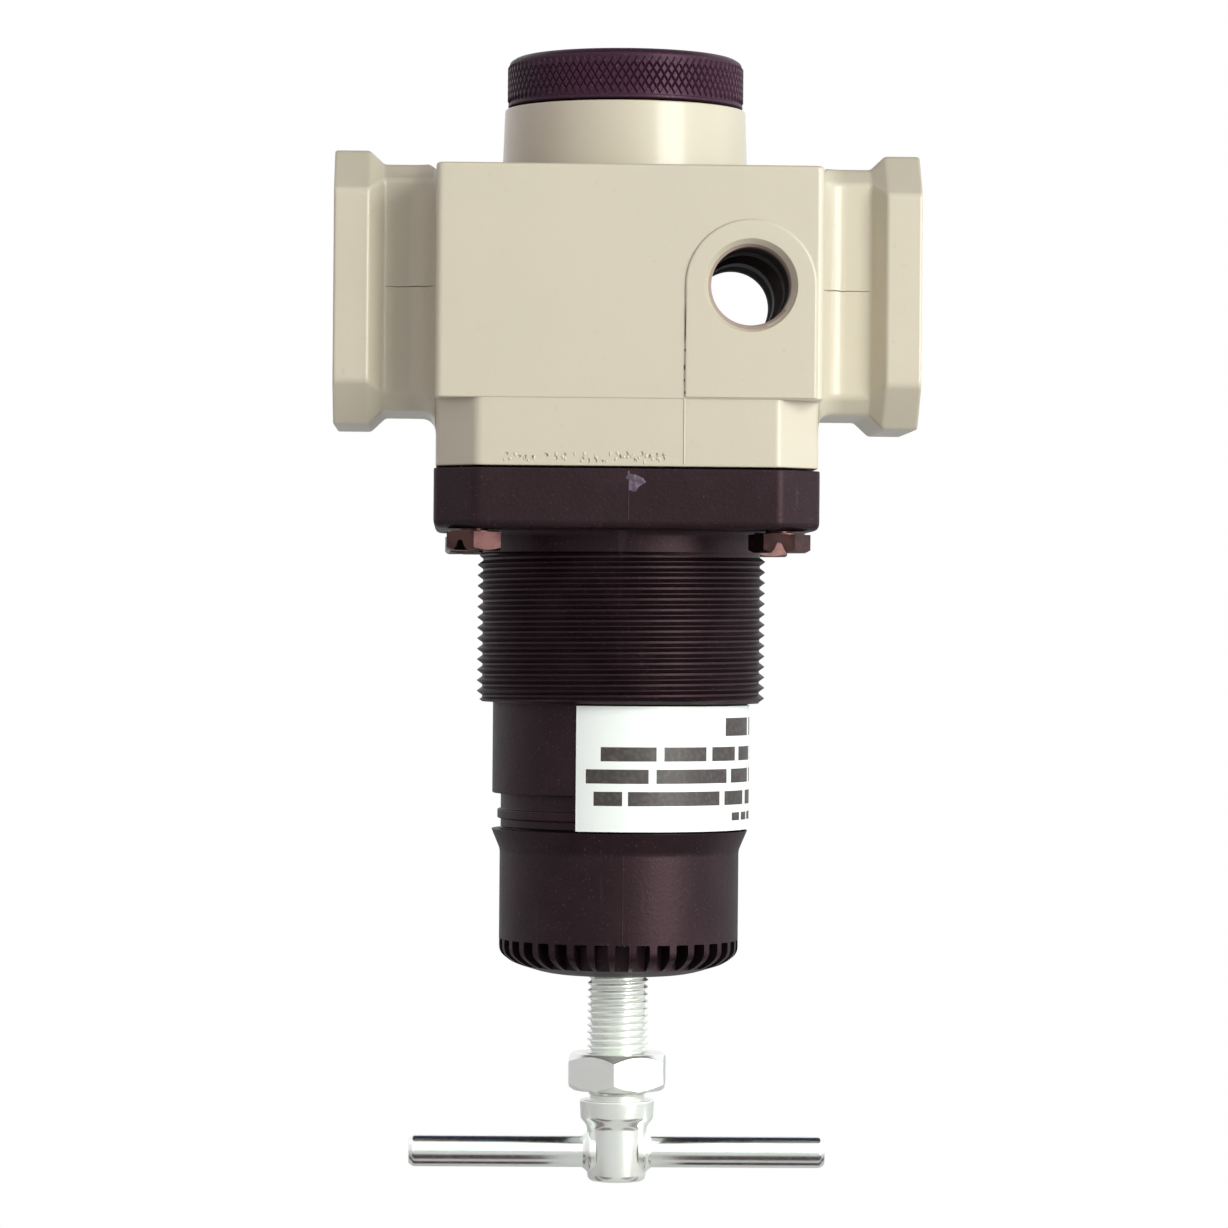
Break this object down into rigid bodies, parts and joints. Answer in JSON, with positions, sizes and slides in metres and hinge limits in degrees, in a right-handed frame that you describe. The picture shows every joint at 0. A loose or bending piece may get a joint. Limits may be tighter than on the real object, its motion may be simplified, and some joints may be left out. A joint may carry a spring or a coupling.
{
  "type": "compressed air pressure regulator",
  "caption": "In-line air pressure regulator: flanged ports, gauge ports, threaded spring bonnet, T-handle screw with lock nut that sets the outlet pressure.",
  "frame": {"origin": "where the port axis crosses the main axis, in the middle of the body", "axes": "+Z along the main axis towards the valve plug, +X along the port axis towards the outlet"},
  "size_m": [0.087, 0.0576, 0.1699],
  "materials": {
    "cast_paint": "cream paint on die-cast alloy, satin",
    "black_nylon": "moulded glass-filled nylon, fine spark texture",
    "anodised": "black anodised, knurled rim",
    "zinc_plate": "bright zinc plate",
    "bronze_plate": "dark chromate on steel",
    "spring_steel": "shot-peened spring wire",
    "brass": "turned brass",
    "rubber": "black nitrile rubber",
    "vinyl": "white adhesive vinyl with grey bars"
  },
  "bodies": {
    "housing": {"body": "cast_paint", "bonnet": "black_nylon", "bonnet_screw_1": "bronze_plate", "bonnet_screw_2": "bronze_plate", "bonnet_screw_3": "bronze_plate", "bonnet_screw_4": "bronze_plate", "screw_insert": "zinc_plate", "bonnet_cap": "black_nylon", "label": "vinyl", "valve_plug": "anodised", "plug_o_ring": "rubber", "valve_stem_o_ring": "rubber", "valve_seat": "brass", "aspirator_tube": "brass", "diaphragm": "rubber", "main_spring": "spring_steel", "valve_spring": "spring_steel"},
    "spring_rest": {"spring_button": "zinc_plate"},
    "handle": {"adjusting_screw": "zinc_plate", "t_bar": "zinc_plate"},
    "jam_nut": {"lock_nut": "zinc_plate"},
    "diaphragm_centre": {"diaphragm_plate": "zinc_plate", "relief_hub": "brass", "hub_nut": "zinc_plate"},
    "valve": {"valve_poppet": "brass", "valve_disc": "rubber"}
  },
  "joints": [
    {"name": "screw_feed", "type": "slide", "parent": "housing", "child": "spring_rest", "axis": [0, 0, 1], "range_m": [0, 0.00635], "deforming": ["main_spring"]},
    {"name": "handle_turn", "type": "hinge", "parent": "spring_rest", "child": "handle", "pos_m": [0, 0, -0.1296], "axis": [0, 0, 1], "range_deg": [0, 2160]},
    {"name": "lock_nut_run", "type": "slide", "parent": "handle", "child": "jam_nut", "axis": [0, 0, 1], "range_m": [0, 0.005]},
    {"name": "diaphragm_stroke", "type": "slide", "parent": "housing", "child": "diaphragm_centre", "axis": [0, 0, 1], "range_m": [0, 0.002], "deforming": ["diaphragm"]},
    {"name": "valve_stroke", "type": "slide", "parent": "housing", "child": "valve", "axis": [0, 0, 1], "range_m": [0, 0.002], "deforming": ["valve_spring"]}
  ],
  "couplings": [
    {"joint": "handle_turn", "follows": "screw_feed", "rad_per_m": 5936.9},
    {"joint": "valve_stroke", "follows": "diaphragm_stroke", "ratio": 1}
  ]
}
